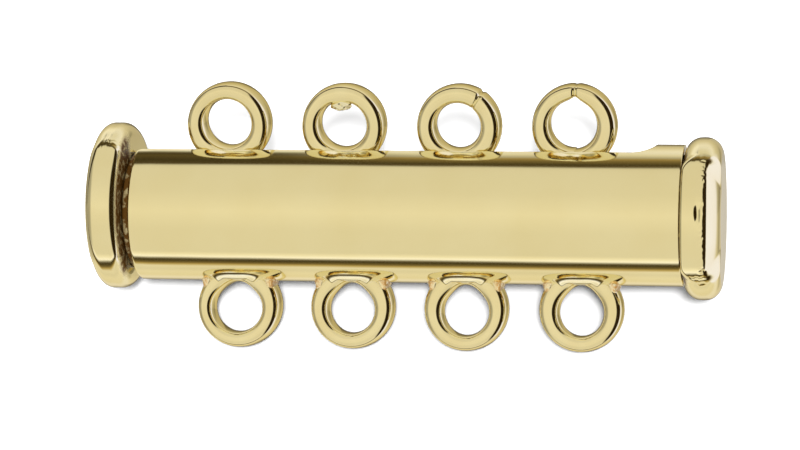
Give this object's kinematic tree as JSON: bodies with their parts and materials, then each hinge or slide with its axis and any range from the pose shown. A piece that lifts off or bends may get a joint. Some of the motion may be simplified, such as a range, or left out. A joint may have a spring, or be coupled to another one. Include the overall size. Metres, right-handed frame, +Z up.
{
  "type": "four-strand slide clasp",
  "caption": "Jewellery slide clasp: a slotted tube with end flange and soldered loops, and a flanged inner slide whose loops run in the slot.",
  "frame": {"origin": "on the surface it lies on, below the middle of its bounding box", "axes": "+X along the tube from the slide's flange to the sleeve's flange, +Z up, and -Y the side that the sleeve's loops lean down to"},
  "size_m": [0.026, 0.0098, 0.0073],
  "materials": {
    "polished_gold": "polished yellow-gold plating on brass"
  },
  "bodies": {
    "sleeve": {"sleeve": "polished_gold", "sleeve_cap": "polished_gold"},
    "slide": {"slide": "polished_gold", "slide_cap": "polished_gold"}
  },
  "joints": [
    {"name": "slide_travel", "type": "slide", "parent": "sleeve", "child": "slide", "axis": [-1, 0, 0], "range_m": [0, 0.024]}
  ]
}
